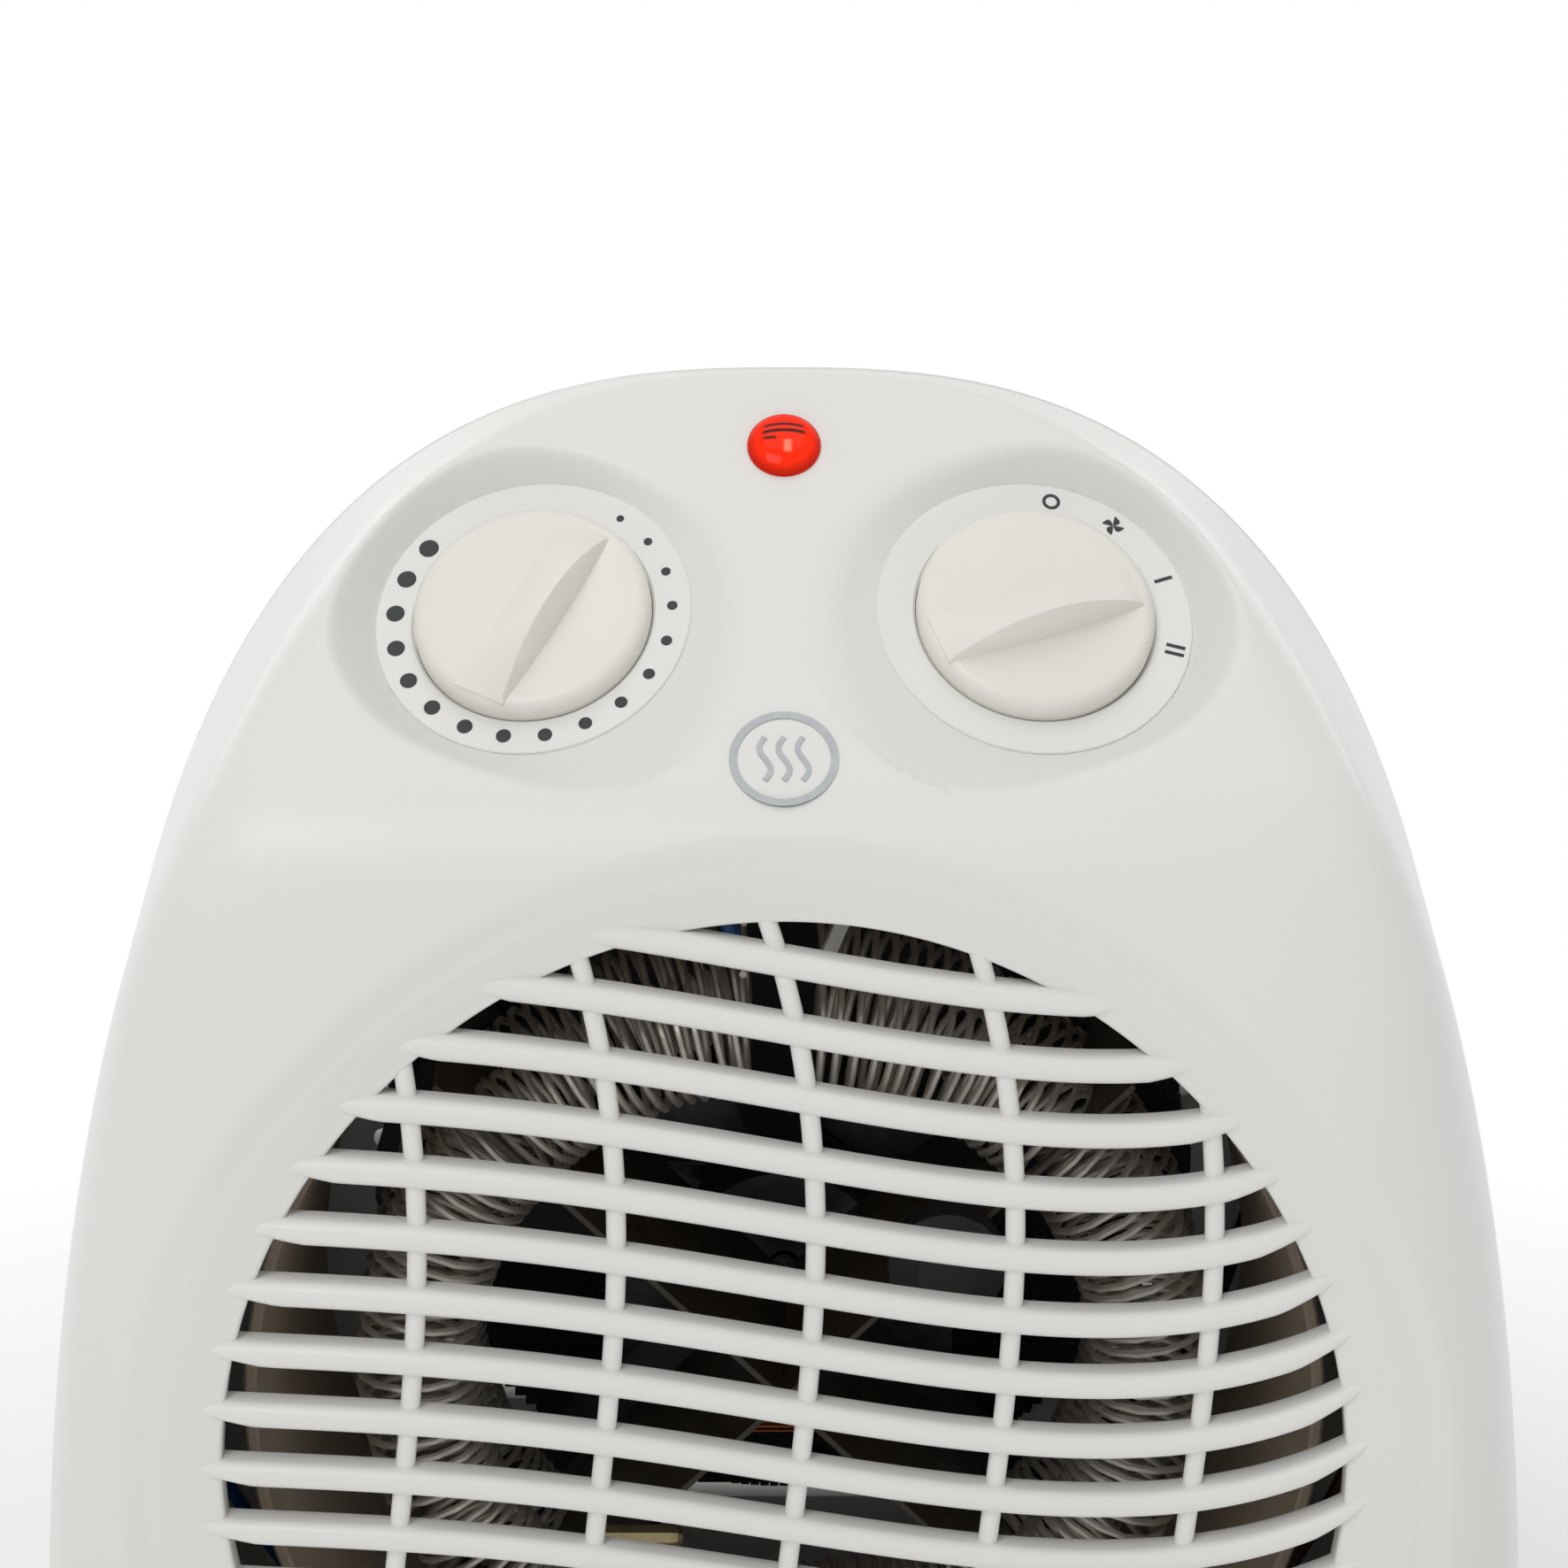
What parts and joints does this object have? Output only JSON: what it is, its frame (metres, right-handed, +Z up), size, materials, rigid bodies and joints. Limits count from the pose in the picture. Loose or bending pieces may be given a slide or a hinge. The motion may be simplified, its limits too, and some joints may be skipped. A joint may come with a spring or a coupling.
{
  "type": "fan convector heater",
  "caption": "Upright fan heater with arched off-white casing, slanted panel with rotary knobs and a neon lamp, and a round outlet grille of wavy bars over heating coils",
  "frame": {"origin": "on the floor, below the middle of the object's width and depth", "axes": "+Z up, -Y front (the outlet grille), +X to the right seen from the front"},
  "size_m": [0.206, 0.123, 0.2474],
  "materials": {
    "casing_plastic": "semi-gloss off-white moulding",
    "knob_plastic": "semi-gloss, slightly creamier white",
    "trim_plastic": "matt off-white",
    "dark_plastic": "matt black moulding",
    "bakelite": "brown phenolic",
    "duct_plastic": "matt beige-grey, heat resisting",
    "lens_plastic": "clear orange-red lens",
    "lamp_glass": "clear lamp envelope",
    "foil": "satin silver",
    "foot_rubber": "matt dark grey",
    "mica": "pale mica sheet",
    "resistance_wire": "oxidised resistance wire",
    "zinc_steel": "zinc plated",
    "bright_steel": "turned steel",
    "lamination_steel": "stacked laminations",
    "enamelled_copper": "enamelled copper wire",
    "bearing_bronze": "sintered bronze",
    "lead_brown": "insulated wire",
    "lead_blue": "insulated wire",
    "lead_red": "insulated wire",
    "lead_white": "insulated wire",
    "lead_black": "insulated wire"
  },
  "bodies": {
    "casing": {"front_cover": "casing_plastic", "rear_cover": "casing_plastic", "cover_screw_1": "zinc_steel", "cover_screw_2": "zinc_steel", "cover_screw_3": "zinc_steel", "cover_screw_4": "zinc_steel", "foot_1": "foot_rubber", "foot_2": "foot_rubber", "foot_3": "foot_rubber", "foot_4": "foot_rubber", "cord_gland": "trim_plastic", "terminal_block": "trim_plastic", "thermostat_body": "bakelite", "switch_body": "dark_plastic", "neon_lens": "lens_plastic", "neon_lamp": "lamp_glass", "badge": "foil", "outlet_duct": "duct_plastic", "heater_coil_front": "resistance_wire", "heater_coil_rear": "resistance_wire", "mica_plate_a": "mica", "mica_plate_b": "mica", "thermal_cutout": "dark_plastic", "thermal_fuse": "foil", "stator_stack": "lamination_steel", "motor_winding": "enamelled_copper", "front_bracket": "zinc_steel", "rear_bracket": "zinc_steel", "front_bearing": "bearing_bronze", "rear_bearing": "bearing_bronze", "motor_screw_1": "zinc_steel", "motor_screw_2": "zinc_steel", "lead_line": "lead_brown", "lead_neutral": "lead_blue", "lead_mode": "lead_red", "lead_heater": "lead_white", "lead_motor": "lead_black"},
    "thermostat_control": {"thermostat_knob": "knob_plastic", "thermostat_spindle": "bright_steel"},
    "mode_control": {"mode_knob": "knob_plastic", "switch_spindle": "bright_steel"},
    "fan": {"impeller": "dark_plastic", "rotor": "lamination_steel", "motor_shaft": "bright_steel"}
  },
  "joints": [
    {"name": "thermostat_turn", "type": "hinge", "parent": "casing", "child": "thermostat_control", "pos_m": [-0.03348, -0.0129, 0.22186], "axis": [0.1175, 0.6087, -0.7847], "range_deg": [0, 280.7]},
    {"name": "mode_turn", "type": "hinge", "parent": "casing", "child": "mode_control", "pos_m": [0.03348, -0.0129, 0.22186], "axis": [-0.1175, 0.6087, -0.7847], "range_deg": [-61.1, 34.1]},
    {"name": "fan_spin", "type": "hinge", "parent": "casing", "child": "fan", "pos_m": [0, 0.0165, 0.115], "axis": [0, 1, 0], "continuous": true}
  ]
}
